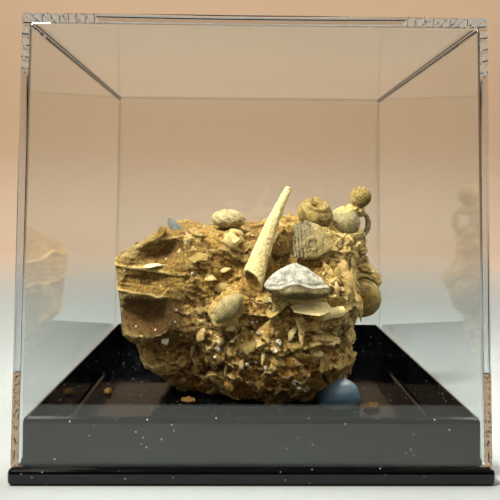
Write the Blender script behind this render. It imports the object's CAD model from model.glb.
# %% [markdown]
# # A fossil cluster in its display case
#
# A block of limestone, full of broken sea shells, stands in a black tray under a clear square cover.
# Whole fossils are set in it: a tusk shell, three snails, two bivalves and two small sea urchins.
# The solids come in as a fixed frame. This script gives them their surfaces: it rebuilds each
# natural piece as a fine mesh on its own solid, so that nothing has to be fitted by eye.

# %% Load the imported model
import math

import bmesh
import bpy
import numpy as np
from mathutils import Matrix, Vector, kdtree, noise
from mathutils.bvhtree import BVHTree


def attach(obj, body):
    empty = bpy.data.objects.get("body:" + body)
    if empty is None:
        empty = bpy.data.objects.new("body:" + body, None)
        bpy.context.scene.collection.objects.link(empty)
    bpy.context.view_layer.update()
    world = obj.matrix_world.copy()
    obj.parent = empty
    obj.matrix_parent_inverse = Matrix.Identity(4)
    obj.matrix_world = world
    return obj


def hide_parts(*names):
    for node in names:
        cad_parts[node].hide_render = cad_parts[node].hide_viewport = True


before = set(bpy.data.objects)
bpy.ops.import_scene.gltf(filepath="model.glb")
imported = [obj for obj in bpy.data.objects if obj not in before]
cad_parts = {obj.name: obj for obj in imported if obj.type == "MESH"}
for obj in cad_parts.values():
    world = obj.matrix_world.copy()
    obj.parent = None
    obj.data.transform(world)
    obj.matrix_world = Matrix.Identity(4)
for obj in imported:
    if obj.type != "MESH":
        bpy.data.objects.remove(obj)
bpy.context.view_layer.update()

MM = 0.001
scene = bpy.context.scene


def new_object(name, data):
    made = bpy.data.objects.new(name, data)
    scene.collection.objects.link(made)
    return made


def new_mesh(name, points, faces):
    mesh = bpy.data.meshes.new(name)
    mesh.from_pydata(points, [], faces)
    mesh.update()
    return mesh


print("solids:", len(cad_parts))

# %% [markdown]
# ## The camera
# The camera stands 215 mm in front of the case's centre and 74 mm up, almost level. Its place comes
# from the case's own corners in the photograph. The small shift moves the frame down without
# tilting the camera, so the case's uprights stay as upright as in the photograph.

# %% Camera
CAMERA_PLACE = Vector((-3.6, -215.4, 74.0)) * MM
CAMERA_YAW, CAMERA_PITCH, CAMERA_ROLL = [math.radians(a) for a in (0.89, -2.41, 0.44)]
LENS_MM = 43.06
SHIFT_DOWN = -0.048


def camera_axes():
    """Right, up and forward, from the yaw, pitch and roll."""
    forward = Vector((math.sin(CAMERA_YAW), math.cos(CAMERA_YAW), 0)) * math.cos(CAMERA_PITCH)
    forward.z = math.sin(CAMERA_PITCH)
    level = Vector((math.cos(CAMERA_YAW), -math.sin(CAMERA_YAW), 0))
    above = level.cross(forward)
    cos, sin = math.cos(CAMERA_ROLL), math.sin(CAMERA_ROLL)
    return level * cos + above * sin, above * cos - level * sin, forward


right, up, forward = camera_axes()
camera = new_object("camera", bpy.data.cameras.new("camera"))
camera.matrix_world = Matrix.Translation(CAMERA_PLACE) @ Matrix((right, up, -forward)).transposed().to_4x4()
camera.data.lens = LENS_MM
camera.data.sensor_width = 36
camera.data.shift_y = SHIFT_DOWN
camera.data.clip_start = 0.005
scene.camera = camera
print("camera at", [round(c, 4) for c in camera.location])

# %% [markdown]
# ## Colours and node trees
# Colours are written as sRGB hex values, the way a paint chart or a colour picker gives them, and
# one function turns them to the linear values that shaders use. One more function adds a node with
# its settings and links. The short ones after it add the nodes that most materials use, so that
# each material below reads as a list of its layers.


# %% Colour and node helpers
def linear(code, alpha=1.0):
    values = []
    for start in (1, 3, 5):
        c = int(code[start:start + 2], 16) / 255
        values.append(c / 12.92 if c <= 0.04045 else ((c + 0.055) / 1.055) ** 2.4)
    return (*values, alpha)


def add(tree, kind, inputs=(), stops=(), **settings):
    """Adds a node: settings are its properties, inputs its values or links, stops its ramp."""
    made = tree.nodes.new(kind)
    for name, value in settings.items():
        setattr(made, name, value)
    for key, value in dict(inputs).items():
        if isinstance(value, bpy.types.NodeSocket):
            tree.links.new(value, made.inputs[key])
        else:
            made.inputs[key].default_value = value
    for index, (place, code) in enumerate(stops):
        ramp = made.color_ramp.elements
        stop = ramp[index] if index < 2 else ramp.new(place)
        stop.position = place
        stop.color = linear(code)
    return made


def per_mm(size):
    """The texture scale that gives features of this size in millimetres on Object coordinates."""
    return 1.0 / (size * MM)


def new_material(name, roughness, ior=1.5, **shader_inputs):
    made = bpy.data.materials.new(name)
    made.use_nodes = True
    shader = made.node_tree.nodes["Principled BSDF"]
    for key, value in dict(Roughness=roughness, IOR=ior, **shader_inputs).items():
        shader.inputs[key.replace("_", " ")].default_value = value
    return made, made.node_tree


def wire(tree, **values):
    """Links values to the inputs of the material's own shader."""
    for key, value in values.items():
        tree.links.new(value, tree.nodes["Principled BSDF"].inputs[key.replace("_", " ")])


def object_spot(tree):
    return add(tree, "ShaderNodeTexCoord").outputs["Object"]


def attribute(tree, name):
    """A value that is stored on the mesh."""
    return add(tree, "ShaderNodeAttribute", attribute_name=name).outputs["Fac"]


def noise_at(tree, spot, size_mm, detail=2.0, roughness=0.5):
    inputs = {"Vector": spot, "Scale": per_mm(size_mm), "Detail": detail, "Roughness": roughness}
    return add(tree, "ShaderNodeTexNoise", inputs).outputs["Fac"]


def cells_at(tree, spot, size_mm):
    return add(tree, "ShaderNodeTexVoronoi", {"Vector": spot, "Scale": per_mm(size_mm)}).outputs


def maths(tree, operation, *values):
    return add(tree, "ShaderNodeMath", dict(enumerate(values)), operation=operation).outputs["Value"]


def remap(tree, value, low, high, to_low=0.0, to_high=1.0, curve="LINEAR"):
    inputs = {"Value": value, "From Min": low, "From Max": high, "To Min": to_low, "To Max": to_high}
    return add(tree, "ShaderNodeMapRange", inputs, interpolation_type=curve).outputs["Result"]


def tone_at(tree, value, *stops):
    return add(tree, "ShaderNodeValToRGB", {"Fac": value}, stops).outputs["Color"]


def mixed(tree, share, under, over, blend="MIX"):
    inputs = {"Factor": share, 6: under, 7: over}
    return add(tree, "ShaderNodeMix", inputs, data_type="RGBA", blend_type=blend).outputs[2]


def tint_by(tree, under, share, code, most=1.0, low=0.0, high=1.0):
    """Lays a colour over another where a value goes from low to high."""
    return mixed(tree, remap(tree, share, low, high, 0.0, most), under, linear(code))


def bump(tree, height, strength, depth_mm):
    inputs = {"Height": height, "Strength": strength, "Distance": depth_mm * MM}
    return add(tree, "ShaderNodeBump", inputs).outputs["Normal"]


# %% [markdown]
# ## Floor, backdrop and light
# The case stands on a plain pale surface that turns up into a warm backdrop, as one sweep. A soft key
# light comes from the upper left in front, which gives the rock its deep, warm shadows. The clear
# cover would block direct light sampling, so it throws no shadow of its own.

# %% Sweep of floor and backdrop
SWEEP_FRONT, SWEEP_BACK = -1.6, 0.80
SWEEP_RADIUS, SWEEP_TOP, SWEEP_SIDE = 0.16, 1.9, 2.4


def sweep_profile():
    points = [(SWEEP_FRONT, 0.0)]
    for step in range(13):
        angle = math.radians(90 * step / 12)
        y = SWEEP_BACK - SWEEP_RADIUS + SWEEP_RADIUS * math.sin(angle)
        points.append((y, SWEEP_RADIUS * (1 - math.cos(angle))))
    return points + [(SWEEP_BACK, SWEEP_TOP)]


points = [(x, y, z) for y, z in sweep_profile() for x in (-SWEEP_SIDE, SWEEP_SIDE)]
faces = [(i, i + 1, i + 3, i + 2) for i in range(0, len(points) - 2, 2)]
sweep = new_object("studio_sweep", new_mesh("studio_sweep", points, faces))
sweep.data.shade_smooth()
paper, tree = new_material("background_paper", 0.9)
place = add(tree, "ShaderNodeSeparateXYZ", {0: object_spot(tree)}).outputs
going_back = remap(tree, place["Y"], 0.16, 0.62, 0.0, 0.4, "SMOOTHSTEP")
rise = remap(tree, place["Z"], 0.0, 0.22, 0.0, 0.6, "SMOOTHSTEP")
way_up = maths(tree, "ADD", going_back, rise)
wire(tree, Base_Color=tone_at(tree, way_up, (0.0, "#a4abad"), (1.0, "#d8bb9f"), (0.4, "#e4cfba")))
sweep.data.materials.append(paper)
print("sweep:", len(sweep.data.polygons), "faces")


# %% Lights
def area_light(name, place, target, size, watts, code):
    made = new_object(name, bpy.data.lights.new(name, "AREA"))
    made.data.shape = "DISK"
    made.data.size = size
    made.data.energy = watts
    made.data.color = linear(code)[:3]
    made.location = place
    made.rotation_euler = (Vector(target) - Vector(place)).to_track_quat("-Z", "Y").to_euler()


area_light("key", (-0.24, -0.20, 0.52), (0.0, 0.0, 0.04), 0.09, 5.0, "#fffaec")
area_light("rim", (0.42, 0.30, 0.40), (0.0, 0.0, 0.05), 0.25, 0.5, "#fff6ec")
area_light("backdrop_left", (-0.5, 0.30, 0.9), (0.0, 0.78, 0.15), 0.5, 3.2, "#fff8ee")
area_light("backdrop_right", (0.6, 0.30, 0.9), (0.1, 0.78, 0.15), 0.5, 3.2, "#fff8ee")

world = bpy.data.worlds.new("soft_room")
scene.world = world
world.use_nodes = True
room = world.node_tree.nodes["Background"]
room.inputs["Color"].default_value = linear("#f4e2c8")
room.inputs["Strength"].default_value = 0.14
scene.view_settings.view_transform = "Standard"
scene.view_settings.look = "None"
scene.cycles.glossy_bounces = 40
scene.cycles.transmission_bounces = 24
scene.cycles.max_bounces = 48

# %% [markdown]
# The clear cover mirrors whatever stands in front of it. A studio hangs black cloth there, on the
# floor and behind the camera, so that the mirrored room doesn't veil the fossils. The cloth shows
# only in light that was mirrored once: light that wanders on inside the clear plastic passes it,
# so the cover's corners stay pale.

# %% Black cloth in front
velvet = bpy.data.materials.new("black_velvet")
velvet.use_nodes = True
tree = velvet.node_tree
tree.nodes.clear()
ray = add(tree, "ShaderNodeLightPath")
mirrored = maths(tree, "COMPARE", ray.outputs["Glossy Depth"], 1.0, 0.5)
cloth = add(tree, "ShaderNodeEmission", {"Color": linear("#060606"), "Strength": 1.0})
nothing = add(tree, "ShaderNodeBsdfTransparent")
chosen = add(
    tree, "ShaderNodeMixShader",
    {0: mirrored, 1: nothing.outputs["BSDF"], 2: cloth.outputs["Emission"]},
)
add(tree, "ShaderNodeOutputMaterial", {"Surface": chosen.outputs["Shader"]})


def hang_cloth(name, corners):
    made = new_object(name, new_mesh(name, corners, [(0, 1, 2, 3)]))
    made.data.materials.append(velvet)
    made.visible_camera = False
    made.visible_diffuse = False
    made.visible_shadow = False


CLOTH_LIFT, CLOTH_EDGE, CLOTH_FAR, CLOTH_HUNG = 0.0006, -0.132, -1.5, -0.75
hang_cloth(
    "floor_cloth",
    [(x, y, CLOTH_LIFT) for x, y in ((-2, CLOTH_FAR), (2, CLOTH_FAR), (2, CLOTH_EDGE), (-2, CLOTH_EDGE))],
)
hang_cloth("hung_cloth", [(x, CLOTH_HUNG, z) for x, z in ((-1.2, 0), (1.2, 0), (1.2, 0.9), (-1.2, 0.9))])
print("cloths: 2")

# %% [markdown]
# ## The case
# The base is injection-moulded black polystyrene: a mirror-like gloss, a little dulled by handling,
# with fine scratches and dust that show only because the plastic is so dark. The cover is clear
# moulded styrene with real wall thickness, so its corners bend light by themselves.

# %% Black moulded base
# Heights of the sunk floor and of the flange, and the front of the tray wall, in metres
FLOOR_BAND, FRONT_BAND = (0.0033, 0.0045), (-0.0585, -0.0575)
DULL, BRIGHT = 0.16, 0.5
black, tree = new_material("moulded_black_polystyrene", 0.1, 1.46)
spot = object_spot(tree)
patches = noise_at(tree, spot, 14.0)
dust_size = remap(tree, cells_at(tree, spot, 2.6)["Distance"], 0.06, 0.085, 1.0, 0.0)
speck = maths(tree, "MULTIPLY", dust_size, remap(tree, patches, 0.38, 0.52))
place = add(tree, "ShaderNodeSeparateXYZ", {0: spot}).outputs
sunk_floor = remap(tree, place["Z"], *FLOOR_BAND, DULL, BRIGHT)
outside = remap(tree, place["Y"], *FRONT_BAND, BRIGHT, DULL)
stretched = add(
    tree, "ShaderNodeMapping", {"Vector": spot, "Rotation": (0.0, 0.0, 0.5), "Scale": (1.0, 14.0, 1.0)},
)
wire(
    tree, Base_Color=mixed(tree, speck, linear("#050608"), linear("#c4c1b8")),
    Roughness=remap(tree, patches, 0.35, 0.7, 0.05, 0.16),
    Specular_IOR_Level=maths(tree, "MAXIMUM", sunk_floor, outside),
    Normal=bump(tree, noise_at(tree, stretched.outputs["Vector"], 9.0, 4.0), 0.12, 0.04),
)
print("base:", black.name)

# %% Clear moulded cover
clear, tree = new_material(
    "clear_moulded_styrene", 0.0, 1.49, Transmission_Weight=1.0, Base_Color=linear("#f7fafa")
)
steeped = add(tree, "ShaderNodeVolumeAbsorption", {"Color": linear("#9aa6b8"), "Density": 3.2})
tree.links.new(steeped.outputs["Volume"], tree.nodes["Material Output"].inputs["Volume"])
for node, material in (("display_base", black), ("clear_cover", clear)):
    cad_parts[node].data.materials.clear()
    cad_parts[node].data.materials.append(material)
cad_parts["clear_cover"].visible_shadow = False
print("cover:", clear.name)


# %% [markdown]
# ## Fine meshes on the solids
# Each natural piece starts as a copy of its own solid. The copy's loose triangles are merged, the
# form is rebuilt in small voxels and smoothed, and then every point moves along its normal. That
# keeps each fossil exactly where the solid is. Fossils could also be turned or lofted from curves,
# but broken, worn surfaces need points everywhere, which voxels give.


# %% Mesh helpers
def evaluated_mesh(obj):
    graph = bpy.context.evaluated_depsgraph_get()
    return bpy.data.meshes.new_from_object(obj.evaluated_get(graph))


def read_vectors(items, name):
    flat = np.empty(len(items) * 3, dtype=np.float32)
    items.foreach_get(name, flat)
    return flat.reshape(-1, 3).astype(float)


def get_points(mesh):
    return read_vectors(mesh.vertices, "co") / MM


def get_normals(mesh):
    return read_vectors(mesh.vertex_normals, "vector")


def set_points(mesh, points):
    mesh.vertices.foreach_set("co", (points * MM).astype(np.float32).ravel())
    mesh.update()


def neighbour_mean(mesh, values):
    """For each point, the mean of a value over the points it shares an edge with."""
    pairs = np.empty(len(mesh.edges) * 2, dtype=np.int32)
    mesh.edges.foreach_get("vertices", pairs)
    a, b = pairs.reshape(-1, 2).T
    count = np.bincount(a, minlength=len(values)) + np.bincount(b, minlength=len(values))
    columns = values.reshape(len(values), -1)
    total = np.empty_like(columns)
    for i in range(columns.shape[1]):
        total[:, i] = np.bincount(a, columns[b, i], len(values)) + np.bincount(b, columns[a, i], len(values))
    return (total / np.maximum(count, 1)[:, None]).reshape(values.shape)


def smoothed(mesh, values, passes):
    for _ in range(passes):
        values = 0.5 * values + 0.5 * neighbour_mean(mesh, values)
    return values


def store(mesh, name, values):
    """Keeps one number for each point, for the materials."""
    layer = mesh.attributes.new(name, "FLOAT", "POINT")
    layer.data.foreach_set("value", np.asarray(values, dtype=np.float32))


def dense_copy(node, name, voxel_mm, passes):
    """The solid's form as a fine even mesh."""
    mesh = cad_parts[node].data.copy()
    bm = bmesh.new()
    bm.from_mesh(mesh)
    bmesh.ops.remove_doubles(bm, verts=bm.verts, dist=0.002 * MM)
    bm.to_mesh(mesh)
    bm.free()
    made = new_object(name, mesh)
    voxels = made.modifiers.new("voxels", "REMESH")
    voxels.mode = "VOXEL"
    voxels.voxel_size = voxel_mm * MM
    made.data = evaluated_mesh(made)
    made.modifiers.clear()
    set_points(made.data, smoothed(made.data, get_points(made.data), passes))
    made.data.shade_smooth()
    made.data.materials.clear()
    return made, get_points(made.data)


def fine_noise(points, size_mm, octaves=3, offset=0.0):
    """Fractal noise at each point, about -1 to 1, with lumps of this size."""
    shift = Vector((offset, offset * 0.7, -offset))
    return np.array([noise.fractal(Vector(p) / size_mm + shift, 0.9, 2.0, octaves) for p in points])


def stamp_cavity(mesh, passes=10):
    """Stores how far each point stands above or below the smoothed surface, as -1 to 1."""
    points = get_points(mesh)
    above = np.einsum("ij,ij->i", points - smoothed(mesh, points, passes), get_normals(mesh))
    store(mesh, "cavity", np.clip(above / 0.35, -1, 1))


def smoothstep(value, low, high):
    share = np.clip((value - low) / (high - low), 0, 1)
    return share * share * (3 - 2 * share)


def hump(away, width):
    """1 where away is 0, and next to nothing from about two widths away."""
    return np.exp(-((away / width) ** 2))


def nearest(points, centres):
    """For each point, the number of its nearest centre and the distance to it."""
    tree = kdtree.KDTree(len(centres))
    for index, centre in enumerate(centres):
        tree.insert(centre, index)
    tree.balance()
    found = np.array([tree.find(p)[1:] for p in points])
    return found[:, 0].astype(int), found[:, 1]


def shape_tree(meshes):
    """The faces of some meshes in millimetres, for rays and distances."""
    verts, faces = [], []
    for mesh in meshes:
        shift = len(verts)
        verts += [v.co / MM for v in mesh.vertices]
        faces += [[shift + i for i in f.vertices] for f in mesh.polygons]
    return BVHTree.FromPolygons(verts, faces)


def say_size(piece):
    print(piece.name, "triangles:", sum(len(p.vertices) - 2 for p in piece.data.polygons))


print("voxel helpers ready")


# %% [markdown]
# ## The rock
# The rock is limestone that set round shell rubble. Its left side is a layered block that broke
# along hollow faces, with thin pale ledges between. Its right side is rubble: tilted plates and pits.
# Tilting each cell of a random cell pattern by its own slope gives that broken look.

# %% Rock: cells of broken plates
ROCK_VOXEL = 0.56
ROCK_SMOOTHING = 20
ROCK_SHARP = 26


def turn_matrix(angles):
    """The rotation for three angles in degrees about X, Y and Z."""
    turn = Matrix.Identity(3)
    for angle, axis in zip(angles, "XYZ"):
        turn = Matrix.Rotation(math.radians(angle), 3, axis) @ turn
    return np.array(turn)


def random_cells(points, spacing, seed):
    """The nearest of many random centres to each point, and the step from that centre to it."""
    rng = np.random.default_rng(seed)
    low, high = points.min(axis=0) - 1.5 * spacing, points.max(axis=0) + 1.5 * spacing
    count = int(np.prod(high - low) / spacing**3)
    centres = rng.uniform(low, high, (count, 3))
    own = nearest(points, centres)[0]
    return own, points - centres[own], rng


def broken_plates(points, size, seed, lift, tilt, turn=(0, 0, 0)):
    """Each point's height on its own random plate, in mm.

    size is a plate's length, width and thickness in mm and turn the way the plates lie. lift is
    how far a plate stands out and tilt how far its edges do."""
    local = points @ turn_matrix(turn) / np.array(size)
    own, step, rng = random_cells(local, 1.0, seed)
    slopes = rng.normal(size=(own.max() + 1, 3))
    slopes /= np.linalg.norm(slopes, axis=1)[:, None]
    lifts = rng.uniform(-1, 1, own.max() + 1)
    return lift * lifts[own] + tilt * np.einsum("ij,ij->i", step, slopes[own])


rock, start = dense_copy("matrix_block", "shell_limestone_block", ROCK_VOXEL, ROCK_SMOOTHING)
print("rock:", len(start), "points")

# %% Rock: how far each point is from a fossil
FOSSILS = [
    "tusk_shell", "triangular_bivalve", "small_bivalve", "pitted_urchin", "umbilicate_snail",
    "white_snail", "moon_snail", "curled_fragment", "shell_slab", "tube_fragment", "slate_shard",
    "mounting_putty",
]

near_fossil = shape_tree([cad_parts[name].data for name in FOSSILS])


def fossil_distance(points, most=6.0):
    found = [near_fossil.find_nearest(p, most)[3] for p in points]
    return np.array([most if d is None else d for d in found])


room_for_relief = 0.12 + 0.88 * smoothstep(fossil_distance(start), 0.5, 3.0)
print("points near a fossil:", int((room_for_relief < 0.9).sum()))

# %% Rock: ledges of the layered side
# Height, depth out of the face and half thickness of each ledge, in mm
LEDGES = [
    (62.0, 0.5, 0.8), (51.3, 1.2, 0.6), (48.6, 0.25, 0.4), (46.8, 0.3, 0.35), (45.0, 0.3, 0.35),
    (41.8, 1.0, 0.7), (27.6, 0.8, 0.9),
]


def ledge_relief(points):
    warp = fine_noise(points * np.array([0.6, 0.6, 1.0]), 14.0, 3, 3.0)
    fade = 0.55 + 0.9 * fine_noise(points, 7.0, 2, 9.0)
    level = points[:, 2] + 0.10 * (points[:, 0] + 34) + 2.0 * warp
    relief = np.zeros(len(points))
    for height, depth, thick in LEDGES:
        relief += depth * np.clip(fade, 0.0, 1.2) * hump(level - height, thick)
    layers = np.sin(level * 3.1) + 0.7 * np.sin(level * 5.7 + 1.0)
    return relief + 0.05 * layers


layered = smoothstep(-start[:, 0], 12.0, 27.0) * smoothstep(start[:, 2], 16.0, 30.0)
draped = smoothstep(-start[:, 0], -4.0, 6.0) * smoothstep(start[:, 2], 34.0, 42.0)
rubble = 1.0 - np.maximum(0.88 * layered, 0.55 * draped)
x, y, z = start.T
dark_face = smoothstep(-x, 21.0, 25.0) * smoothstep(z, 26.0, 29.5) * smoothstep(42.0 - z, 0.0, 2.5)
dark_face *= smoothstep(-y, -4.0, 4.0)
relief = ledge_relief(start) * layered * (1 - 0.85 * dark_face)
print("layered points:", int((layered > 0.5).sum()))

# %% Rock: facets, grit and holes of the rubble
warp = np.stack([fine_noise(start, 4.0, 2, o) for o in (2.0, 20.0, 40.0)], axis=1)
bent = start + 0.25 * warp
chunks = broken_plates(bent, (12, 11, 9), 11, 0.6, 1.8)
facets = broken_plates(bent, (5.4, 5.0, 4.4), 15, 0.36, 0.95)
chips = broken_plates(bent, (2.2, 2.2, 1.8), 16, 0.10, 0.30)
lying = random_cells(bent, 11.0, 14)[0] % 3
PLATE_TURNS = [(62, 18, 10), (-35, 48, 70), (20, -62, 130)]
shelves = np.zeros(len(start))
for index, turn in enumerate(PLATE_TURNS):
    chosen = lying == index
    shelves[chosen] = broken_plates(bent, (9.0, 8.0, 3.0), 21 + index, 0.5, 0.3, turn)[chosen]
shelves *= 0.35 + 0.65 * smoothstep(z, 18.0, 30.0)
grit = fine_noise(start, 1.8, 4, 1.0)
holes = np.minimum(0.0, fine_noise(start, 4.6, 3, 5.0) + 0.34)
print("shelves from", round(float(shelves.min()), 2), "to", round(float(shelves.max()), 2), "mm")

# %% Rock: a dark crevice on the right of the front
CREVICE = (np.array((22.6, 19.8)), np.array((27.6, 9.5)))


def crevice_depth(points, width=0.75, deepest=2.4):
    """A groove along a line that is drawn on the front, in x and z."""
    flat = points[:, [0, 2]] - CREVICE[0]
    line = CREVICE[1] - CREVICE[0]
    share = np.clip(flat @ line / (line @ line), 0, 1)
    away = np.linalg.norm(flat - share[:, None] * line, axis=1)
    away += 0.5 * fine_noise(points, 2.5, 2, 30.0)
    return deepest * hump(away, width) * (points[:, 1] < 0)


crevice = crevice_depth(start)
print("crevice points:", int((crevice > 1).sum()))

# %% Rock: move the points out and in
# Centre, reach and extra amount of shell chips where the rubble is thickest, in mm
CRUSTS = [
    ((26.5, -22.0, 47.0), 4.0, 2.5), ((-16.0, -19.0, 29.0), 5.0, 1.6), ((-17.5, -14.0, 18.0), 5.0, 1.8),
    ((-20.0, -20.0, 43.0), 5.0, 1.2), ((32.0, -6.0, 56.0), 4.0, 1.5), ((46.0, 4.0, 46.0), 4.0, 2.0),
    ((2.0, -24.0, 36.0), 6.0, 0.8), ((-28.0, -2.0, 9.0), 4.0, 1.5), ((-11.0, -16.0, 60.0), 5.0, 1.0),
]
upward = smoothstep(get_normals(rock.data)[:, 2], 0.45, 0.85) * smoothstep(y, -9.0, -1.0)
calmed = rubble * (1 - 0.6 * upward)
relief += calmed * (0.9 * chunks + shelves + facets + chips + 0.22 * grit + 0.6 * holes - crevice)
strands = np.sin(2.6 * z + 1.2 * x + 2.0 * fine_noise(start, 6.0, 3, 21.0)) * draped
relief += 0.16 * strands * (1 - layered)
relief += (1 - rubble) * (1 - 0.7 * dark_face) * (0.25 * chunks + 0.12 * facets + 0.16 * chips + 0.12 * grit)
# Beside a fossil the rock stands out by less than the gap to it
clear_of_fossils = 2.1 * smoothstep(fossil_distance(start), 0.4, 4.5) - 0.1
relief = np.clip(relief, -3.2, clear_of_fossils) * room_for_relief
moved = start + get_normals(rock.data) * relief[:, None]
FLOOR_TOP = 3.35
moved[:, 2] = np.maximum(moved[:, 2], FLOOR_TOP)
set_points(rock.data, moved)
stamp_cavity(rock.data, 8)
hollow = np.einsum("ij,ij->i", moved - smoothed(rock.data, moved, 60), get_normals(rock.data))
store(rock.data, "hollow", np.clip(hollow / 1.6, -1, 1))
far = smoothstep(fossil_distance(moved, 4.0), 0.8, 2.6)
clusters = smoothstep(fine_noise(start, 7.0, 3, 15.0), -0.25, 0.35)
amount = rubble * (0.2 + 0.8 * clusters) * (1 - 0.8 * dark_face)
for centre, reach, extra in CRUSTS:
    amount += extra * hump(np.linalg.norm(moved - np.array(centre), axis=1), reach)
store(rock.data, "hash", far * amount)
print("rock relief from", round(float(relief.min()), 2), "to", round(float(relief.max()), 2), "mm")

# %% Rock: where it is rusty, dark or pale
# x, y and z are each point's place in mm, and each colour fades in over a band of them
patchy = 0.35 * fine_noise(start, 9.0, 3, 7.0)
rust = smoothstep(30.0 - z + 20 * patchy, 0.0, 16.0) * smoothstep(x, -40.0, -20.0)
behind_tusk = hump(x - 3, 10) * hump(z - 59, 8)
pale = smoothstep(x + 8 * patchy, 22.0, 34.0) * smoothstep(z, 12.0, 30.0)
pale_seam = hump(x + 13 + 0.12 * (z - 25), 5) * smoothstep(45.0 - z, 0.0, 8.0)
upper_left = smoothstep(-x, 14.0, 24.0) * smoothstep(z, 50.0, 56.0)
rust = (rust + 0.9 * behind_tusk + patchy) * (1 - 0.6 * smoothstep(z, 52.0, 60.0))
store(rock.data, "rust", np.clip(rust * (1 - 0.7 * smoothstep(-x, 20.0, 30.0)), 0, 1))
dark = dark_face + 0.85 * behind_tusk + 0.2 * layered + 0.4 * upper_left
store(rock.data, "dark", np.clip(dark * (1 + patchy), 0, 1))
store(rock.data, "pale", np.clip(pale + 0.8 * pale_seam + patchy, 0, 1))
print("dark face points:", int((dark_face > 0.5).sum()))

# %% [markdown]
# Limestone is matt: light sinks in a little and comes back warm. The hollows keep the brown of iron
# and clay, the high points are rubbed pale, and white grains of shell show everywhere. The colour
# follows the stored heights, so it stays in the hollows from every side.

# %% Rock: limestone material
limestone, tree = new_material("shell_limestone", 0.92)
spot = object_spot(tree)
broad_noise = noise_at(tree, spot, 9.0, 4.0)
colour = tone_at(tree, broad_noise, (0.32, "#96722e"), (0.70, "#dcbf74"), (0.52, "#bd9b4c"))
for name, code, most in (("rust", "#ae7418", 0.88), ("pale", "#c2b078", 0.7), ("dark", "#67480f", 0.95)):
    colour = tint_by(tree, colour, attribute(tree, name), code, most)
grit_tone = tone_at(tree, noise_at(tree, spot, 0.8, 6.0, 0.72), (0.34, "#4a4132"), (0.66, "#cfcabb"))
colour = mixed(tree, 0.95, colour, grit_tone, "OVERLAY")
depth = maths(tree, "MULTIPLY_ADD", attribute(tree, "cavity"), 0.8, attribute(tree, "hollow"))
colour = tint_by(tree, colour, depth, "#5a3808", 0.85, 0.0, -1.0)
colour = tint_by(tree, colour, depth, "#dfcb88", 0.5, 0.3, 1.0)
grains = cells_at(tree, spot, 1.7)
grain_size = remap(tree, grains["Distance"], 0.26, 0.12, 0.0, 0.8)
grain_pick = add(tree, "ShaderNodeSeparateColor", {"Color": grains["Color"]}).outputs["Red"]
white_share = maths(tree, "MULTIPLY", grain_size, maths(tree, "GREATER_THAN", grain_pick, 0.90))
colour = tint_by(tree, colour, white_share, "#ebe6da")
wire(tree, Base_Color=colour, Normal=bump(tree, noise_at(tree, spot, 0.5, 6.0, 0.75), 1.0, 0.6))
rock.data.materials.append(limestone)
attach(rock, "root")
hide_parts("matrix_block")
rock.data.set_sharp_from_angle(angle=math.radians(ROCK_SHARP))
say_size(rock)

# %% [markdown]
# ## Shell rubble on the rock
# Thousands of broken shell flakes, splinters and grains stand out of the rock. Geometry Nodes lay
# them on the rock's surface: a few small shapes are picked at random, turned, sized and sunk, and
# each one keeps a random tint. The instances are made real, so that they stay in the exported mesh.


# %% Shapes of the rubble
def flake_shape(name, seed, length, width, bend, thick, corners):
    """A thin, angular chip of shell wall, about 1 unit long, bent over its middle."""
    rng = np.random.default_rng(seed)
    outline = []
    for corner in range(corners):
        angle = 2 * math.pi * (corner + rng.uniform(-0.25, 0.25)) / corners
        reach = 0.5 * rng.uniform(0.55, 1.15)
        outline.append((length * math.cos(angle) * reach, width * math.sin(angle) * reach))
    points, faces = [], []
    for side in (-0.5 * thick, 0.5 * thick):
        points += [(x, y, side - bend * (2 * x / length) ** 2) for x, y in outline] + [(0, 0, side)]
    under, over = corners, 2 * corners + 1
    for a in range(corners):
        b = (a + 1) % corners
        c, d = b + corners + 1, a + corners + 1
        faces += [(b, a, under), (a, b, c, d), (d, c, over)]
    return new_object(name, new_mesh(name, points, faces))


def grain_shape(name, seed, stretch):
    rng = np.random.default_rng(seed)
    bm = bmesh.new()
    bmesh.ops.create_icosphere(bm, subdivisions=1, radius=0.5)
    for vert in bm.verts:
        vert.co *= rng.uniform(0.75, 1.15)
        vert.co.x *= stretch
    made = new_object(name, bpy.data.meshes.new(name))
    bm.to_mesh(made.data)
    bm.free()
    return made


flakes = [
    flake_shape("chip_wide", 1, 1.0, 0.85, 0.10, 0.10, 7),
    flake_shape("chip_cup", 2, 1.0, 0.80, 0.35, 0.09, 8),
    flake_shape("chip_long", 3, 1.5, 0.50, 0.15, 0.10, 7),
    flake_shape("chip_splinter", 4, 1.7, 0.22, 0.08, 0.12, 6),
    flake_shape("chip_corner", 5, 0.9, 0.70, 0.05, 0.14, 5),
]
plates = [
    flake_shape("plate_cup", 11, 1.0, 0.85, 0.30, 0.05, 9),
    flake_shape("plate_long", 12, 1.4, 0.60, 0.22, 0.06, 7),
    flake_shape("plate_flat", 13, 1.1, 0.75, 0.06, 0.07, 6),
    flake_shape("plate_hook", 14, 1.2, 0.50, 0.55, 0.05, 9),
]
crumbs = [
    grain_shape("crumb_round", 6, 1.0),
    grain_shape("crumb_long", 7, 1.5),
    grain_shape("crumb_lump", 8, 1.2),
]
print("rubble shapes:", [len(o.data.polygons) for o in flakes + plates + crumbs])


# %% Scatter tree
TINT_SEED = 77
SMALL_BIAS = 2.4
SCATTER_SOCKETS = [
    ("Geometry", "Geometry", "INPUT"), ("Density", "Float", "INPUT"), ("Smallest", "Float", "INPUT"),
    ("Largest", "Float", "INPUT"), ("Tilt", "Float", "INPUT"), ("Sink", "Float", "INPUT"),
    ("Seed", "Int", "INPUT"), ("Geometry", "Geometry", "OUTPUT"),
]


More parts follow.
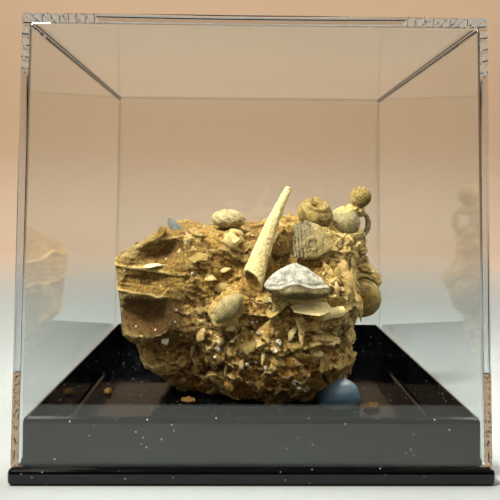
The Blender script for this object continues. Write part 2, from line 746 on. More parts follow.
def random_value(tree, kind, low, high, seed):
    """A random value for each point. The node has its own sockets for each kind of value."""
    first = ("FLOAT_VECTOR", "FLOAT", "INT").index(kind)
    inputs = {2 * first: low, 2 * first + 1: high, "Seed": seed}
    return add(tree, "FunctionNodeRandomValue", inputs, data_type=kind).outputs[first]


def scatter_tree(name, shapes, material):
    """Lays shapes on a surface where its hash attribute is high."""
    tree = bpy.data.node_groups.new(name, "GeometryNodeTree")
    tree.is_modifier = True
    for label, kind, way in SCATTER_SOCKETS:
        tree.interface.new_socket(label, in_out=way, socket_type="NodeSocket" + kind)
    given = add(tree, "NodeGroupInput").outputs
    seed, tilt = given["Seed"], given["Tilt"]
    amount = add(tree, "GeometryNodeInputNamedAttribute", {"Name": "hash"}, data_type="FLOAT")
    thick = maths(tree, "MULTIPLY", given["Density"], amount.outputs["Attribute"])
    spread = add(
        tree, "GeometryNodeDistributePointsOnFaces",
        {"Mesh": given["Geometry"], "Density": thick, "Seed": seed},
    ).outputs
    skewed = maths(tree, "POWER", random_value(tree, "FLOAT", 0.0, 1.0, seed), SMALL_BIAS)
    size = remap(tree, skewed, 0.0, 1.0, given["Smallest"], given["Largest"])
    sunk = maths(tree, "MULTIPLY", size, given["Sink"])
    inward = add(
        tree, "ShaderNodeVectorMath", {0: spread["Normal"], "Scale": sunk}, operation="SCALE",
    )
    seated = add(
        tree, "GeometryNodeSetPosition",
        {"Geometry": spread["Points"], "Offset": inward.outputs["Vector"]},
    )
    least = maths(tree, "MULTIPLY", tilt, -1.0)
    low = add(tree, "ShaderNodeCombineXYZ", {"X": least, "Y": least, "Z": 0.0}).outputs["Vector"]
    high = add(tree, "ShaderNodeCombineXYZ", {"X": tilt, "Y": tilt, "Z": 2 * math.pi}).outputs["Vector"]
    angles = random_value(tree, "FLOAT_VECTOR", low, high, seed)
    turn = add(tree, "FunctionNodeEulerToRotation", {"Euler": angles})
    turned = add(
        tree, "FunctionNodeRotateRotation",
        {"Rotation": spread["Rotation"], "Rotate By": turn.outputs["Rotation"]},
        rotation_space="LOCAL",
    )
    pool = add(tree, "GeometryNodeJoinGeometry")
    for shape in shapes:
        one = add(tree, "GeometryNodeObjectInfo", {"Object": shape, "As Instance": True})
        tree.links.new(one.outputs["Geometry"], pool.inputs["Geometry"])
    laid = add(
        tree, "GeometryNodeInstanceOnPoints",
        {
            "Points": seated.outputs["Geometry"], "Instance": pool.outputs["Geometry"],
            "Pick Instance": True,
            "Instance Index": random_value(tree, "INT", 0, len(shapes) - 1, seed),
            "Rotation": turned.outputs["Rotation"], "Scale": size,
        },
    )
    tint = random_value(tree, "FLOAT", 0.0, 1.0, TINT_SEED)
    tinted = add(
        tree, "GeometryNodeStoreNamedAttribute",
        {"Geometry": laid.outputs["Instances"], "Name": "tint", "Value": tint},
        data_type="FLOAT", domain="INSTANCE",
    )
    real = add(tree, "GeometryNodeRealizeInstances", {"Geometry": tinted.outputs["Geometry"]})
    dressed = add(
        tree, "GeometryNodeSetMaterial",
        {"Geometry": real.outputs["Geometry"], "Material": material},
    )
    add(tree, "NodeGroupOutput", {"Geometry": dressed.outputs["Geometry"]})
    return tree


def scatter(name, carrier, tree, **values):
    """Runs a scatter tree on a piece's mesh and keeps the result as a piece of its own."""
    made = new_object(name, carrier.data)
    laying = made.modifiers.new("laying", "NODES")
    laying.node_group = tree
    for item in tree.interface.items_tree:
        if item.in_out == "INPUT" and item.name in values:
            laying[item.identifier] = values[item.name]
    mesh = evaluated_mesh(made)
    made.modifiers.clear()
    made.data = mesh
    made.data.name = name
    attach(made, "root")
    say_size(made)


# %% [markdown]
# Broken shell is chalky and matt, cream to white with a few grey and rusty pieces. The random tint
# that each flake carries picks its colour, and a fine grain keeps it from looking like plastic.

# %% Rubble: chalky shell material
chalk, tree = new_material("chalky_broken_shell", 0.8)
own_tone = tone_at(
    tree, attribute(tree, "tint"),
    (0.0, "#86621f"), (1.0, "#f6f1e2"), (0.38, "#a2823c"), (0.68, "#c6ad6a"), (0.88, "#e0cf9c"),
)
regional = tint_by(tree, own_tone, attribute(tree, "rust"), "#8a6018", 0.75)
mottle = noise_at(tree, object_spot(tree), 0.8, 5.0, 0.7)
mottle_tone = tone_at(tree, mottle, (0.34, "#4c463a"), (0.66, "#bcb8ae"))
flecked = mixed(tree, 0.6, regional, mottle_tone, "OVERLAY")
wire(tree, Base_Color=flecked, Normal=bump(tree, mottle, 1.0, 0.6))
print("rubble material:", chalk.name)

# %% Rubble: lay it on the rock
# Name, shapes, pieces to a square metre, least and greatest size in mm, tilt, sink and seed
RUBBLE = [
    ("shell_plates", plates, 36000.0, 1.6, 4.6, 0.95, 0.04, 5),
    ("shell_flakes", flakes, 520000.0, 0.35, 1.9, 0.9, 0.02, 3),
    ("shell_crumbs", crumbs, 100000.0, 0.18, 0.7, 1.5, -0.1, 8),
]
for name, shapes, density, least, most, tilt, sink, seed in RUBBLE:
    scatter(
        name, rock, scatter_tree("lay_" + name, shapes, chalk),
        Density=density, Smallest=least * MM, Largest=most * MM, Tilt=tilt, Sink=sink, Seed=seed,
    )


# %% [markdown]
# ## Large plates of shell
# The largest broken shells are placed one by one, where they catch the light on the real rock.
# Each is a thin bent sheet with a ragged outline, laid on the rock's front by casting a ray at it.

# %% Large plates: where they lie
# x and z on the front face, distance out of it, facing, run of the length, then length, width,
# bend and thickness, all in mm, and tint
LARGE_PLATES = [
    (6.8, 39.4, 0.2, (-0.5, -0.8, 0.35), (0.2, 0, 1), 5.5, 4.6, -1.4, 0.45, 0.60),
    (15.6, 34.0, 0.7, (0.75, -0.35, 0.45), (0.55, 0, 0.83), 10.5, 4.6, 1.6, 0.45, 0.75),
    (21.0, 25.0, 0.7, (-0.3, -0.6, 0.7), (1, 0, -0.4), 5.0, 2.6, 0.8, 0.35, 0.86),
    (13.0, 31.5, 0.8, (-0.6, -0.7, 0.3), (0.4, 0, 1), 6.0, 2.4, 1.0, 0.35, 0.84),
    (-6.0, 33.0, 0.7, (0.5, -0.7, 0.5), (1, 0, 0.5), 5.0, 2.2, 0.8, 0.35, 0.82),
    (-14.0, 48.0, 0.7, (-0.4, -0.6, 0.7), (1, 0, -0.6), 6.0, 2.2, 0.7, 0.35, 0.80),
    (-9.0, 50.5, 0.7, (-0.2, -0.7, 0.7), (1, 0, 0.3), 5.0, 2.0, 0.6, 0.35, 0.84),
    (4.0, 24.0, 0.8, (0.6, -0.7, 0.4), (0.5, 0, 1), 5.0, 1.6, 0.7, 0.35, 0.88),
    (-8.0, 17.0, 0.8, (0.5, -0.8, 0.2), (0.4, 0, 1), 5.5, 1.6, 0.6, 0.35, 0.85),
    (-20.0, 22.0, 0.8, (0.4, -0.8, 0.2), (0.3, 0, 1), 5.0, 1.6, 0.6, 0.35, 0.83),
    (9.0, 12.0, 0.8, (-0.4, -0.8, 0.2), (0.5, 0, 1), 5.0, 1.5, 0.5, 0.35, 0.78),
    (23.1, 30.6, 0.9, (0.0, -0.55, 0.83), (1, 0, -0.05), 7.0, 4.0, 0.5, 0.45, 0.70),
    (26.0, 29.2, 1.1, (0.1, -0.6, 0.8), (1, 0, 0.2), 6.0, 3.2, 0.4, 0.4, 0.80),
    (20.6, 28.8, 0.7, (-0.2, -0.5, 0.8), (1, 0, 0.15), 5.0, 3.0, 0.5, 0.4, 0.60),
    (32.3, 35.0, 0.5, (0.3, -0.9, 0.2), (0.55, 0, -0.83), 4.6, 1.5, 0.3, 0.45, 0.78),
    (-29.3, 25.9, 0.5, (-0.3, -0.9, 0.3), (0.3, 0, 0.95), 3.2, 2.6, 0.4, 0.5, 0.97),
    (-3.0, 20.6, 0.9, (-0.6, -0.75, 0.1), (0.1, 0, 1), 4.6, 1.8, 0.5, 0.45, 0.80),
    (27.6, 46.0, 0.9, (0.7, -0.6, 0.2), (0.3, 0, 1), 5.0, 2.4, 0.6, 0.4, 0.80),
    (33.0, 47.0, 0.5, (0.6, -0.75, 0.2), (0.25, 0, 1), 9.0, 4.0, 0.8, 0.55, 0.65),
    (35.0, 40.5, 0.5, (0.75, -0.6, 0.15), (-0.2, 0, 1), 10.0, 4.0, 0.9, 0.55, 0.60),
    (30.6, 51.8, 0.4, (0.4, -0.8, 0.4), (0.5, 0, 0.8), 6.5, 4.2, 0.7, 0.55, 0.70),
    (-33.3, 52.0, 0.5, (-0.1, -0.45, 0.88), (1, 0, 0.1), 9.0, 2.4, 0.4, 0.4, 0.94),
    (-16.5, 29.0, 0.7, (-0.5, -0.8, 0.3), (0.5, 0, 0.9), 5.0, 3.6, 0.8, 0.55, 0.72),
    (-19.5, 14.5, 0.7, (-0.5, -0.75, 0.3), (0.8, 0, -0.3), 4.6, 3.0, 0.7, 0.45, 0.62),
    (-1.0, 27.0, 0.5, (-0.3, -0.9, 0.3), (0.9, 0, 0.3), 6.0, 4.0, 0.9, 0.45, 0.55),
    (9.0, 22.5, 0.6, (0.1, -0.9, 0.4), (0.7, 0, -0.6), 6.0, 3.6, 1.0, 0.45, 0.50),
    (3.0, 14.0, 0.7, (-0.3, -0.9, 0.1), (0.2, 0, 1), 6.0, 3.0, 0.8, 0.45, 0.42),
    (12.0, 8.8, 0.7, (0.0, -0.9, -0.2), (0.8, 0, 0.6), 7.0, 3.6, 0.8, 0.45, 0.32),
    (-7.0, 11.0, 0.7, (-0.4, -0.8, 0.0), (0.9, 0, 0.5), 5.0, 3.6, 0.8, 0.45, 0.38),
    (24.0, 22.0, 0.5, (0.4, -0.85, 0.3), (0.3, 0, 1), 7.0, 3.8, 1.0, 0.45, 0.52),
    (-24.0, 17.0, 0.7, (-0.3, -0.85, 0.2), (0.8, 0, 0.6), 4.2, 3.0, 0.6, 0.45, 0.50),
    (-10.5, 44.5, 0.5, (-0.3, -0.8, 0.5), (0.9, 0, -0.3), 7.0, 4.0, 0.9, 0.6, 0.60),
    (-18.0, 55.0, 0.5, (-0.2, -0.7, 0.7), (1, 0, -0.3), 7.0, 4.4, 0.7, 0.7, 0.50),
    (-12.5, 38.5, 0.6, (-0.5, -0.8, 0.2), (0.3, 0, 1), 5.5, 3.2, 0.8, 0.45, 0.66),
]
rock_shape = shape_tree([rock.data])


def on_front(x, z, out):
    """The rock's front face at x and z, moved out by some millimetres."""
    hit = rock_shape.ray_cast(Vector((x, -60, z)), Vector((0, 1, 0)))[0]
    return np.array(hit if hit else (x, 0, z)) - np.array((0, out, 0))


print("large plates:", len(LARGE_PLATES))

# %% Large plates: build them
PLATE_ROWS = (13, 8)


def facing_turn(facing, run):
    """The rows turn a piece's own axes so that Z faces out and X runs along its length."""
    z_way = Vector(facing).normalized()
    x_way = (Vector(run) - z_way * Vector(run).dot(z_way)).normalized()
    return np.array((x_way, z_way.cross(x_way), z_way))


def bent_sheet(centre, facing, run, length, width, bend, thick, seed):
    """The points of a ragged bent sheet: its outer side, then its inner side."""
    turn = facing_turn(facing, run)
    u, v = np.meshgrid(np.linspace(-1, 1, PLATE_ROWS[0]), np.linspace(-1, 1, PLATE_ROWS[1]), indexing="ij")
    u, v = u.ravel(), v.ravel()
    torn = 1 + 0.30 * fine_noise(np.stack([3 * u, 3 * v, 0 * u + seed * 7.3], axis=1), 1.0, 4)
    x = 0.5 * length * u * (1 - 0.22 * v * v) * torn
    pointed = 0.30 if width > 0.5 * length else 0.80
    y = 0.5 * width * v * (1 - pointed * u * u) * torn
    uneven = min(0.40, 0.05 * length) * fine_noise(np.stack([x, y, 0 * x + seed], axis=1), 1.3, 4)
    z = bend * (0.5 - u * u - 0.4 * v * v) + uneven
    thin = thick * (1 - 0.5 * np.maximum(u * u, v * v))
    sides = [np.stack([x, y, z + side * thin / 2], axis=1) @ turn + centre for side in (1, -1)]
    return np.concatenate(sides)


def sheet_faces():
    """Quads on both sides of the sheet, and round its rim."""
    grid = np.arange(PLATE_ROWS[0] * PLATE_ROWS[1]).reshape(PLATE_ROWS)
    corners = (grid[:-1, :-1], grid[1:, :-1], grid[1:, 1:], grid[:-1, 1:])
    faces = []
    for quad in zip(*[corner.ravel().tolist() for corner in corners]):
        faces += [quad, tuple(grid.size + k for k in quad[::-1])]
    ring = np.concatenate([grid[:, 0], grid[-1, 1:], grid[-2::-1, -1], grid[0, -2:0:-1]]).tolist()
    for a, b in zip(ring, ring[1:] + ring[:1]):
        faces.append((b, a, grid.size + a, grid.size + b))
    return faces


def joined_piece(name, parts, faces, tints, material, sharp_degrees):
    """One mesh from many point sets that share the same faces."""
    size = len(parts[0])
    all_faces = [[index * size + i for i in face] for index in range(len(parts)) for face in faces]
    mesh = new_mesh(name, [tuple(p) for p in np.concatenate(parts) * MM], all_faces)
    store(mesh, "tint", np.repeat(tints, size) if len(tints) == len(parts) else tints)
    heights = get_points(mesh)[:, 2]
    store(mesh, "rust", 0.8 * smoothstep(26.0 - heights, 0.0, 12.0))
    mesh.materials.append(material)
    mesh.shade_smooth()
    mesh.set_sharp_from_angle(angle=math.radians(sharp_degrees))
    made = new_object(name, mesh)
    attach(made, "root")
    say_size(made)


sheets = []
for seed, (x, z, out, *shape, tint) in enumerate(LARGE_PLATES):
    sheets.append(bent_sheet(on_front(x, z, out), *shape, seed))
joined_piece("large_shell_plates", sheets, sheet_faces(), [p[-1] for p in LARGE_PLATES], chalk, 35)

# %% Broken blocks on the front
# x and z on the front face, distance out of it, facing, run of the length, then length, width and
# thickness, all in mm, and tint. The first is the ledge under the large bivalve.
BLOCKS = [
    (19.3, 40.4, 1.8, (0.05, -0.5, 0.87), (1, 0, 0.12), 17.5, 8.0, 2.6, 0.90),
    (-5.8, 61.4, 0.4, (-0.45, -0.8, 0.45), (1, 0, 0.25), 8.0, 6.5, 4.5, 0.84),
    (0.4, 58.3, 0.1, (0.0, -0.95, 0.3), (1, 0, 0), 6.8, 5.8, 2.6, 0.30),
    (-1.5, 55.0, 0.1, (-0.2, -0.9, 0.3), (1, 0, -0.3), 6.0, 4.0, 2.4, 0.40),
    (32.6, 56.7, 0.4, (0.3, -0.8, 0.5), (1, 0, 0.2), 6.0, 5.0, 4.0, 0.50),
    (34.5, 51.0, 0.4, (0.5, -0.8, 0.1), (0.3, 0, 1), 8.0, 4.5, 3.0, 0.55),
    (26.4, 47.8, 0.9, (0.4, -0.8, 0.4), (0.8, 0, 0.6), 4.6, 3.0, 2.4, 0.74),
    (28.4, 50.6, 0.4, (0.4, -0.8, 0.4), (0.7, 0, -0.7), 5.4, 3.4, 2.6, 0.60),
    (31.5, 44.5, 0.3, (0.6, -0.75, 0.1), (-0.2, 0, 1), 8.0, 4.4, 2.6, 0.58),
    (33.6, 36.0, 0.3, (0.7, -0.7, 0.0), (0.1, 0, 1), 8.5, 4.5, 2.6, 0.45),
    (30.5, 27.0, 0.3, (0.6, -0.8, -0.1), (-0.2, 0, 1), 8.0, 5.0, 2.6, 0.30),
    (-16.4, 29.4, 0.5, (-0.4, -0.9, 0.2), (0.5, 0, 0.9), 4.2, 3.2, 2.6, 0.78),
    (-18.6, 17.6, 0.5, (-0.4, -0.8, 0.2), (0.8, 0, -0.4), 4.6, 3.4, 2.8, 0.70),
    (-10.2, 27.4, 0.5, (-0.3, -0.9, 0.3), (0.6, 0, 0.8), 4.0, 2.8, 2.4, 0.86),
    (-24.5, 9.0, 0.4, (-0.4, -0.8, -0.2), (0.9, 0, 0.2), 6.5, 4.0, 3.0, 0.62),
    (14.5, 27.5, 0.4, (0.1, -0.9, 0.4), (0.9, 0, 0.3), 5.2, 3.8, 2.0, 0.48),
    (21.5, 13.5, 0.2, (0.3, -0.9, -0.1), (0.6, 0, 0.8), 8.5, 5.5, 2.4, 0.20),
    (-31.4, 62.2, 0.5, (-0.35, -0.85, 0.4), (0.5, 0, 0.87), 8.0, 4.6, 3.0, 0.36),
    (5.6, 42.6, 0.5, (-0.1, -0.9, 0.4), (1, 0, 0.3), 2.8, 2.2, 2.0, 0.90),
]


def broken_block(centre, facing, run, length, width, thick, seed):
    """A faceted lump with rough faces: its points and its faces."""
    rng = np.random.default_rng(300 + seed)
    bm = bmesh.new()
    for corner in rng.normal(size=(15, 3)):
        bm.verts.new(corner / np.linalg.norm(corner) * rng.uniform(0.8, 1.05))
    hull = bmesh.ops.convex_hull(bm, input=bm.verts)
    bmesh.ops.delete(bm, geom=hull["geom_interior"], context="VERTS")
    bmesh.ops.subdivide_edges(bm, edges=bm.edges, cuts=4, use_grid_fill=True)
    bmesh.ops.triangulate(bm, faces=bm.faces)
    points = np.array([v.co for v in bm.verts]) * np.array((length, width, thick)) / 2
    ways = np.array([v.co.normalized() for v in bm.verts])
    faces = [[v.index for v in f.verts] for f in bm.faces]
    bm.free()
    points += ways * (0.34 * fine_noise(points + 9.0 * seed, 1.3, 4))[:, None]
    return points @ facing_turn(facing, run) + centre, faces


block_points, block_faces, block_tints = [], [], []
for seed, (x, z, out, *shape, tint) in enumerate(BLOCKS):
    points, faces = broken_block(on_front(x, z, out), *shape, seed)
    block_faces += [[len(block_tints) + i for i in face] for face in faces]
    block_points.append(points)
    block_tints += [tint] * len(points)
joined_piece("broken_blocks", [np.concatenate(block_points)], block_faces, block_tints, chalk, 28)

# %% [markdown]
# White calcite grew in the hollows: small round beads, and a broken ring of them low on the right.

# %% Calcite beads
# x and z on the front face and radius of each bead, in mm
BEADS = [
    (9.0, 28.5, 1.25), (-1.2, 20.6, 0.9), (-10.5, 24.3, 1.4), (4.9, 19.8, 0.9), (15.9, 39.4, 0.9),
    (0.3, 34.3, 0.8), (-19.6, 49.4, 0.7), (-12.0, 21.0, 0.8), (-25.0, 37.0, 0.5),
]
RING_CENTRE, RING_SIZE, RING_TILT, RING_BEADS = (16.6, 13.4), (3.0, 1.9), 0.5, 17
for step in range(RING_BEADS):
    angle = 2 * math.pi * step / RING_BEADS
    across, rise = RING_SIZE[0] * math.cos(angle), RING_SIZE[1] * math.sin(angle)
    x = RING_CENTRE[0] + across * math.cos(RING_TILT) - rise * math.sin(RING_TILT)
    z = RING_CENTRE[1] - across * math.sin(RING_TILT) + rise * math.cos(RING_TILT)
    BEADS.append((x, z, 0.42 + 0.22 * math.sin(step * 2.4)))
bead_mesh = bmesh.new()
bmesh.ops.create_icosphere(bead_mesh, subdivisions=3, radius=1.0)
bead_points = np.array([v.co for v in bead_mesh.verts])
bead_faces = [[v.index for v in f.verts] for f in bead_mesh.faces]
bead_mesh.free()
balls = []
for seed, (x, z, radius) in enumerate(BEADS):
    lumpy = 0.86 + 0.34 * fine_noise(bead_points * 1.4 + seed * 3.1, 1.0, 3)
    balls.append(bead_points * radius * lumpy[:, None] + on_front(x, z, 0.35 * radius))
calcite, tree = new_material("white_vein_calcite", 0.5)
cloud = noise_at(tree, object_spot(tree), 0.9)
wire(tree, Base_Color=tone_at(tree, cloud, (0.35, "#8f8468"), (0.6, "#d3cdbf")))
joined_piece("calcite_beads", balls, bead_faces, [1.0] * len(BEADS), calcite, 90)


# %% [markdown]
# ## Fossil surfaces
# All the fossils are old calcite: matt, cream to grey, with a sandy skin of rock still on them. One
# function builds that skin from its tones. It mottles the colour, dirties the hollows with ochre
# and adds a grain of about half a millimetre, which is what the lamp picks out on them.


# %% Fossil shell material
def fossil_material(name, tones, dirt, mottle_mm, grain_mm, roughness=0.75):
    """tones are hex colours from dark to pale; dirt colours the hollows."""
    made, tree = new_material(name, roughness)
    spot = object_spot(tree)
    mottle = noise_at(tree, spot, mottle_mm, 5.0, 0.6)
    colour = tone_at(tree, mottle, *zip((0.32, 0.68, 0.5), tones))
    grain = noise_at(tree, spot, 0.5, 4.0, 0.7)
    grain_tone = tone_at(tree, grain, (0.34, "#4c4c4c"), (0.66, "#b4b4b4"))
    colour = mixed(tree, 0.7, colour, grain_tone, "OVERLAY")
    colour = tint_by(tree, colour, attribute(tree, "cavity"), dirt, 0.85, 0.02, -0.5)
    colour = tint_by(tree, colour, attribute(tree, "inside"), "#a3701c", 0.9)
    colour = tint_by(tree, colour, attribute(tree, "crust"), "#b39a5c", 0.85)
    wire(tree, Base_Color=colour, Normal=bump(tree, grain, 0.7, grain_mm))
    return made


def finish_fossil(piece, points, relief, node, material, cavity_passes=10):
    """Moves each point out by its relief in mm, and puts the piece in its solid's place."""
    set_points(piece.data, points + get_normals(piece.data) * relief[:, None])
    stamp_cavity(piece.data, cavity_passes)
    piece.data.materials.append(material)
    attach(piece, "root")
    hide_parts(node)
    say_size(piece)


def local_frame(centre, direction, spin=0.0):
    """Centre in mm and the rotation that turns +Z to a direction, as in the solids."""
    turn = Vector(direction).to_track_quat("Z", "Y").to_matrix().to_4x4()
    turn = turn @ Matrix.Rotation(math.radians(spin), 4, "Z")
    return np.array(centre), np.array(turn.to_3x3())


def to_local(points, place):
    centre, turn = place
    return (points - centre) @ turn


sandy_cream = fossil_material("sandy_tusk_calcite", ["#c8b77d", "#f2e8bc"], "#8a7038", 0.9, 0.45)
pale_cream = fossil_material("urchin_calcite", ["#a8955e", "#d2c596"], "#7d6632", 1.8, 0.2)
smooth_cream = fossil_material("worn_snail_calcite", ["#765d22", "#b3984f"], "#46330f", 2.2, 0.26)
white_calcite = fossil_material(
    "white_snail_calcite", ["#877a4a", "#bdb083", "#a39666"], "#55451f", 1.4, 0.22
)
print("fossil materials ready")

# %% [markdown]
# ## The tusk shell
# A scaphopod's tube widens evenly from tip to mouth. Its skin here is a sandy crust, so the relief
# is small grains and shallow pits, and the broken mouth shows a thick wall round a dark hollow.

# %% Tusk shell
TUSK_BASE, TUSK_TIP = np.array((0.4, -23.0, 48.2)), np.array((12.5, -13.0, 78.4))
BORE_RADIUS, BORE_TAPER, BORE_DEPTH = 3.35, 0.07, 10.0
tusk, points = dense_copy("tusk_shell", "tusk_shell_sandy", 0.20, 7)
crust = 0.14 * fine_noise(points, 1.4, 3, 2.0) + 0.13 * fine_noise(points, 0.6, 2, 4.0)
holes = 0.30 * np.minimum(0.0, fine_noise(points, 1.1, 2, 8.0) + 0.25)
axis = (TUSK_TIP - TUSK_BASE) / np.linalg.norm(TUSK_TIP - TUSK_BASE)
along = (points - TUSK_BASE) @ axis
off_axis = np.linalg.norm(points - TUSK_BASE - along[:, None] * axis, axis=1)
inside = smoothstep(BORE_RADIUS - BORE_TAPER * along - off_axis, 0.0, 0.5)
store(tusk.data, "inside", inside * smoothstep(BORE_DEPTH - along, 0.0, 1.0))
finish_fossil(tusk, points, crust + holes, "tusk_shell", sandy_cream)

# %% [markdown]
# ## The triangular bivalve
# Two thick valves are still closed. The upper valve rises to its beak, grey-white with violet-grey
# stains, and the valve edge runs across the front as a pale wavy lip. Growth lines follow the lip.

# %% Bivalve
BIVALVE_CENTRE = np.array((14.3, -27.5, 46.6))
bivalve, points = dense_copy("triangular_bivalve", "triangular_bivalve_stained", 0.20, 10)
local = points - BIVALVE_CENTRE
lip_height = 1.2 + 0.45 * np.sin(local[:, 0] * 0.62 + 2.2) - 0.016 * local[:, 0] ** 2
above_lip = local[:, 2] - lip_height
reach = np.hypot(local[:, 0] / 10.8, local[:, 1] / 6.0)
edge = smoothstep(reach, 0.45, 0.8) * smoothstep(-local[:, 1], -1.0, 2.5)
lip = 0.16 * hump(above_lip, 0.38)
groove = -0.34 * hump(above_lip - 0.95, 0.45)
band = 0.35 * hump(above_lip + 2.2, 1.3)
worn = 0.20 * fine_noise(points, 2.4, 4, 3.0) + 0.08 * fine_noise(points, 0.8, 3, 6.0)
relief = (lip + groove + band) * edge + worn
store(bivalve.data, "upper", smoothstep(above_lip, -0.2, 0.5))
print("bivalve points:", len(points))

# %% Bivalve: stained calcite
stained, tree = new_material("violet_stained_calcite", 0.55)
spot = object_spot(tree)
upper = attribute(tree, "upper")
clouds = noise_at(tree, spot, 2.4, 6.0, 0.65)
greys = tone_at(tree, clouds, (0.34, "#6d6a5e"), (0.66, "#c6c4b4"), (0.50, "#9b998b"))
creams = tone_at(tree, clouds, (0.35, "#504020"), (0.65, "#7a6a3e"))
blotches = remap(tree, noise_at(tree, spot, 1.1, 4.0), 0.54, 0.64, 0.0, 0.65)
on_upper = maths(tree, "MULTIPLY", blotches, upper)
colour = mixed(tree, on_upper, mixed(tree, upper, creams, greys), linear("#7a675c"))
colour = tint_by(tree, colour, attribute(tree, "cavity"), "#6f5836", 0.8, -0.05, -0.6)
wire(tree, Base_Color=colour, Normal=bump(tree, noise_at(tree, spot, 0.5, 4.0), 0.8, 0.2))
finish_fossil(bivalve, points, relief, "triangular_bivalve", stained)

# %% [markdown]
# ## The small bivalve
# A smooth almond of a shell, with faint growth lines that run round from its beak.

# %% Small bivalve
BEAK = np.array((-3.0, -25.0, 44.0))
almond, points = dense_copy("small_bivalve", "small_bivalve_smooth", 0.17, 10)
away = np.linalg.norm(points - BEAK, axis=1)
lines = 0.035 * np.sin(away * 7.5 + fine_noise(points, 3.0, 2))
worn = 0.06 * fine_noise(points, 2.0, 3, 1.0)
almond_skin = fossil_material("smooth_bivalve_calcite", ["#a08d57", "#cbba83"], "#7a653a", 2.4, 0.14, 0.65)
finish_fossil(almond, points, lines + worn, "small_bivalve", almond_skin)

# %% [markdown]
# ## The sea urchins
# The oval one carries low round knobs where its spines sat, each near the centre of its own random
# cell. The ball has ridges that run from pole to pole, with pits at the top, which are spread
# evenly by the golden angle.

# %% Oval urchin
oval, points = dense_copy("pitted_urchin", "pitted_urchin_knobbed", 0.15, 30)
from_centre = np.linalg.norm(random_cells(points, 0.8, 51)[1], axis=1)
bumps = 0.26 * hump(from_centre, 0.34) - 0.06
worn = 0.08 * fine_noise(points, 1.4, 3, 2.0)
finish_fossil(oval, points, bumps + worn, "pitted_urchin", pale_cream, 8)


# %% Ribbed urchin
def golden_points(count):
    """Evenly spread unit directions."""
    index = np.arange(count) + 0.5
    z = 1 - 2 * index / count
    turn, ring = index * math.pi * (3 - math.sqrt(5)), np.sqrt(1 - z * z)
    return np.stack([ring * np.cos(turn), ring * np.sin(turn), z], axis=1)


RIBBED = local_frame((39.8, 2.0, 75.6), (-0.62, 0.35, 0.7))
RIBS, PITS = 24, 150
ball, points = dense_copy("ribbed_urchin", "ribbed_urchin_ridged", 0.12, 26)
local = to_local(points, RIBBED)
length = np.linalg.norm(local, axis=1)
pole = smoothstep(local[:, 2] / length, 0.72, 0.85)
way = np.arctan2(local[:, 1], local[:, 0])
ribs = 0.15 * np.cos(way * RIBS) * smoothstep(np.hypot(local[:, 0], local[:, 1]), 0.5, 2.0)
bars = 0.04 * np.sin(local[:, 2] * 9.0)
pits = -0.28 * hump(nearest(local / length[:, None], golden_points(PITS))[1], 0.07)
worn = 0.05 * fine_noise(points, 0.9, 2, 2.0)
relief = (ribs + bars) * (1 - pole) + pits * pole + worn
finish_fossil(ball, points, relief, "ribbed_urchin", smooth_cream, 6)

# %% [markdown]
# ## The snails
# A snail's seam is a spiral that winds up to the spire. On each snail the seam is cut as a groove
# whose distance from the spire shrinks by the same share every turn, as a growing shell's does.


# %% Snail seams
def spiral_seam(points, place, seam_angle, width):
    """1 along the spiral seam and 0 away from it. seam_angle is where it meets the lip."""
    local = to_local(points, place)
    length = np.linalg.norm(local, axis=1)
    away = np.degrees(np.arccos(np.clip(local[:, 2] / length, -1, 1)))
    turn = (np.arctan2(local[:, 1], local[:, 0]) % (2 * math.pi)) / (2 * math.pi)
    seam = np.zeros(len(points))
    for lap in range(4):
        at = seam_angle * 0.52 ** (lap - turn + 1)
        seam = np.maximum(seam, hump(away - at, width * at + 0.8))
    return seam, away


UMBILICATE = local_frame((22.3, -5.5, 69.6), (0.10, -0.55, 0.80), 150)
umbilicate, points = dense_copy("umbilicate_snail", "umbilicate_snail_worn", 0.18, 12)
seam, away = spiral_seam(points, UMBILICATE, 78, 0.10)
pit = hump(away, 17)
rim = hump(away - 38, 12)
worn = 0.24 * fine_noise(points, 2.6, 4, 2.0) + 0.10 * fine_noise(points, 0.8, 2, 9.0)
nibbled = 1.7 * np.minimum(0.0, fine_noise(points, 1.2, 2, 4.0) + 0.2) * hump(away, 26)
relief = worn + nibbled + 0.6 * rim - 1.1 * pit - 0.35 * seam * smoothstep(away, 20, 40)
store(umbilicate.data, "inside", 0.6 * hump(away, 14))
finish_fossil(umbilicate, points, relief, "umbilicate_snail", smooth_cream, 14)

# %% White snail
WHITE = local_frame((34.3, 2.5, 66.6), (0.55, 0.30, 0.78), 60)
white, points = dense_copy("white_snail", "white_snail_worn", 0.18, 12)
seam, away = spiral_seam(points, WHITE, 70, 0.09)
worn = 0.12 * fine_noise(points, 2.4, 4, 6.0)
holes = 0.5 * np.minimum(0.0, fine_noise(points, 1.6, 2, 12.0) + 0.42)
crust = smoothstep(np.linalg.norm(points - WHITE[0], axis=1), 6.0, 6.9)
crust = np.clip(crust + smoothstep(points[:, 2], 69.5, 71.5), 0, 1)
lumps = 0.55 * fine_noise(points, 1.5, 3, 16.0) * crust
relief = worn + holes - 0.35 * seam * (1 - crust) + lumps
store(white.data, "crust", crust)
finish_fossil(white, points, relief, "white_snail", white_calcite, 12)

# %% Moon snail
MOON = local_frame((40.7, 1.5, 38.8), (-0.06, -0.99, 0.13), 200)
moon, points = dense_copy("moon_snail", "moon_snail_worn", 0.24, 14)
seam, away = spiral_seam(points, MOON, 82, 0.07)
worn = 0.10 * fine_noise(points, 4.0, 3, 2.0) + 0.03 * fine_noise(points, 0.8, 2, 2.0)
relief = worn - 0.22 * seam * smoothstep(away, 4, 12) - 0.9 * hump(away, 9)
store(moon.data, "inside", 0.7 * hump(away, 16))
finish_fossil(moon, points, relief, "moon_snail", smooth_cream, 14)

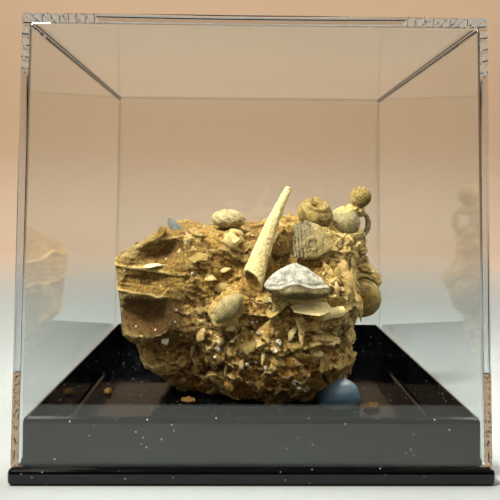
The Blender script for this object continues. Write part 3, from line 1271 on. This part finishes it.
# %% [markdown]
# ## Broken pieces
# The curled lip, the thick shell slab, the tube piece and the thin shard are broken shell. Their
# faces are rough where they broke and smooth where the animal made them.

# %% Curled lip, tube piece and shard
def worn_piece(node, name, voxel, passes, rough_mm, size_mm, material):
    made, points = dense_copy(node, name, voxel, passes)
    relief = rough_mm * fine_noise(points, size_mm, 4, 3.0) + 0.3 * rough_mm * fine_noise(points, 0.6, 2, 1.0)
    finish_fossil(made, points, relief, node, material)


slate = fossil_material("slate_grey_shell", ["#585e60", "#98a09c"], "#4a4840", 1.8, 0.08, 0.45)
tube_cream = fossil_material("clean_tube_calcite", ["#dccb94", "#fbf0cb"], "#a08a55", 2.0, 0.16)
worn_piece("curled_fragment", "curled_lip", 0.12, 8, 0.12, 1.4, white_calcite)
worn_piece("tube_fragment", "tube_piece", 0.13, 4, 0.12, 1.6, tube_cream)
worn_piece("slate_shard", "slate_blue_shard", 0.10, 3, 0.05, 1.5, slate)

# %% Shell slab
slab, points = dense_copy("shell_slab", "thick_shell_slab", 0.18, 3)
chips = broken_plates(points, (6, 4, 7), 41, 0.15, 0.75)
chips += broken_plates(points, (1.4, 1.4, 2.8), 42, 0.08, 0.22)
knolls = 0.12 * fine_noise(points, 1.4, 4, 2.0)
left_part = smoothstep(19.0 - points[:, 0], 0.0, 2.0)
lines = np.sin(points[:, 0] * 5.2 + 0.5 * points[:, 2] + 1.6 * fine_noise(points, 2.5, 2, 9.0))
knolls += 0.34 * left_part * np.minimum(lines, 0.2)
caves = 0.4 * np.minimum(0.0, fine_noise(points, 0.9, 3, 7.0) + 0.3)
crust = hump(points[:, 0] - 18.5, 2.0) * smoothstep(64.0 - points[:, 2], 0.0, 5.0)
crust = np.clip(crust * (0.4 + 1.6 * np.clip(fine_noise(points, 1.3, 3, 22.0), 0, 1)), 0, 1)
store(slab.data, "crust", np.clip(crust + 0.55 * smoothstep(points[:, 0], 19.5, 21.5), 0, 1))
slab_skin = fossil_material("grey_slab_calcite", ["#6d613a", "#aca078", "#8b7e56"], "#42320f", 2.0, 0.30)
relief = chips + knolls + caves + 0.5 * crust
finish_fossil(slab, points, relief, "shell_slab", slab_skin)

# %% [markdown]
# ## Putty and crumbs
# A lump of museum putty props the rock at the front. It is slightly see-through, so it takes a
# subsurface glow and a soft highlight. Crumbs that fell from the rock lie on the tray's floor.

# %% Putty
putty, tree = new_material(
    "blue_grey_museum_putty", 0.22, 1.45, Coat_Weight=0.6, Coat_Roughness=0.06,
    Subsurface_Weight=0.6, Subsurface_Radius=(0.6, 0.9, 1.0), Subsurface_Scale=0.004,
)
spot = object_spot(tree)
height = add(tree, "ShaderNodeSeparateXYZ", {0: spot}).outputs["Z"]
putty_tone = tone_at(
    tree, remap(tree, height, 0.004, 0.013), (0.0, "#35434c"), (1.0, "#7f94a2"), (0.6, "#587182"),
)
wire(tree, Base_Color=putty_tone, Normal=bump(tree, noise_at(tree, spot, 5.0, 3.0), 0.6, 0.9))
lump, points = dense_copy("mounting_putty", "museum_putty", 0.35, 10)
pressed = 0.35 * fine_noise(points, 6.0, 2, 2.0) * smoothstep(points[:, 2], 4.5, 7.0)
finish_fossil(lump, points, pressed, "mounting_putty", putty)

# %% Crumbs
for node in ("crumb_left", "crumb_middle", "crumb_right"):
    worn_piece(node, node + "_rough", 0.12, 1, 0.55, 1.0, chalk)

# %% Finish
for shape in flakes + plates + crumbs:
    bpy.data.objects.remove(shape, do_unlink=True)
